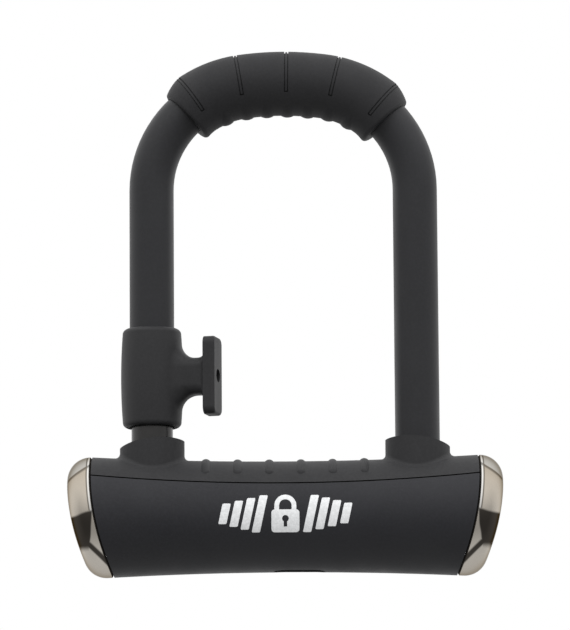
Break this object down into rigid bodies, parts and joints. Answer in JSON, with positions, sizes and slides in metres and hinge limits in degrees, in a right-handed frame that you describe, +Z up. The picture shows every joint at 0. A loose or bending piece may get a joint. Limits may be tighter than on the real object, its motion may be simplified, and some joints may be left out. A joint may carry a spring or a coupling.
{
  "type": "u lock",
  "caption": "U-lock with a rubber-gripped steel shackle, a covered crossbar that holds a keyed cylinder and forked bolts, and a frame-bracket collar clamped on a leg.",
  "frame": {"origin": "middle of the base that the crossbar stands on", "axes": "+Z up along the shackle's legs, +X to the right along the crossbar, front towards -Y"},
  "size_m": [0.176, 0.0458, 0.216],
  "materials": {
    "tube_steel": "satin",
    "cover_rubber": "matte",
    "cover_plastic": "satin",
    "cap_plating": "polished",
    "hardened_steel": "ground",
    "pin_steel": "ground",
    "seal_rubber": "matte",
    "cast_zinc": "cast",
    "cylinder_brass": "turned",
    "core_nickel": "nickel plated",
    "disc_brass": "stamped",
    "bolt_steel": "ground",
    "shutter_plastic": "satin",
    "bar_steel": "dark nickel",
    "vinyl": "satin",
    "grip_rubber": "matte",
    "collar_plastic": "satin",
    "liner_rubber": "matte",
    "screw_black": "black oxide"
  },
  "bodies": {
    "crossbar": {"crossbar_tube": "tube_steel", "upper_cover": "cover_rubber", "lower_cover": "cover_plastic", "end_cap_left": "cap_plating", "end_cap_right": "cap_plating", "end_plug_left": "hardened_steel", "end_plug_right": "hardened_steel", "end_plug_pins": "pin_steel", "leg_socket_left": "hardened_steel", "leg_socket_right": "hardened_steel", "leg_seals": "seal_rubber", "bolt_guide_left": "cast_zinc", "bolt_guide_right": "cast_zinc", "cylinder_housing": "cylinder_brass", "cylinder_pin": "pin_steel"},
    "plug": {"cylinder_core": "core_nickel", "drill_guard": "hardened_steel", "detainer_discs": "disc_brass", "disc_spacers": "disc_brass", "sidebar": "pin_steel", "core_clip": "pin_steel", "drive_cam": "hardened_steel", "cam_screw": "pin_steel"},
    "left_bolt": {"bolt_left": "bolt_steel"},
    "right_bolt": {"bolt_right": "bolt_steel"},
    "shutter": {"keyway_shutter": "shutter_plastic"},
    "shackle": {"shackle_bar": "bar_steel", "shackle_coating": "vinyl", "shackle_grip": "grip_rubber"},
    "liner": {"collar_liner": "liner_rubber"},
    "collar": {"collar_body": "collar_plastic", "clamp_shoe": "pin_steel", "clamp_screw": "screw_black", "clamp_nut": "cylinder_brass"}
  },
  "joints": [
    {"name": "shackle_lift", "type": "slide", "parent": "crossbar", "child": "shackle", "axis": [0, 0, 1], "range_m": [0, 0.045]},
    {"name": "plug_turn", "type": "hinge", "parent": "crossbar", "child": "plug", "pos_m": [0, 0, 0.01428], "axis": [0, 0, 1], "range_deg": [0, 90]},
    {"name": "left_bolt_slide", "type": "slide", "parent": "crossbar", "child": "left_bolt", "axis": [-1, 0, 0], "range_m": [0, 0.006]},
    {"name": "right_bolt_slide", "type": "slide", "parent": "crossbar", "child": "right_bolt", "axis": [1, 0, 0], "range_m": [0, 0.006]},
    {"name": "shutter_slide", "type": "slide", "parent": "crossbar", "child": "shutter", "axis": [1, 0, 0], "range_m": [0, 0.012]},
    {"name": "collar_slide", "type": "slide", "parent": "shackle", "child": "liner", "axis": [0, 0, 1], "range_m": [-0.003, 0.05]},
    {"name": "collar_swivel", "type": "hinge", "parent": "liner", "child": "collar", "pos_m": [-0.05375, 0, 0.08108], "axis": [0, 0, 1], "continuous": true}
  ],
  "couplings": [
    {"joint": "left_bolt_slide", "follows": "right_bolt_slide", "ratio": 1},
    {"joint": "plug_turn", "follows": "right_bolt_slide", "rad_per_m": 261.8}
  ]
}
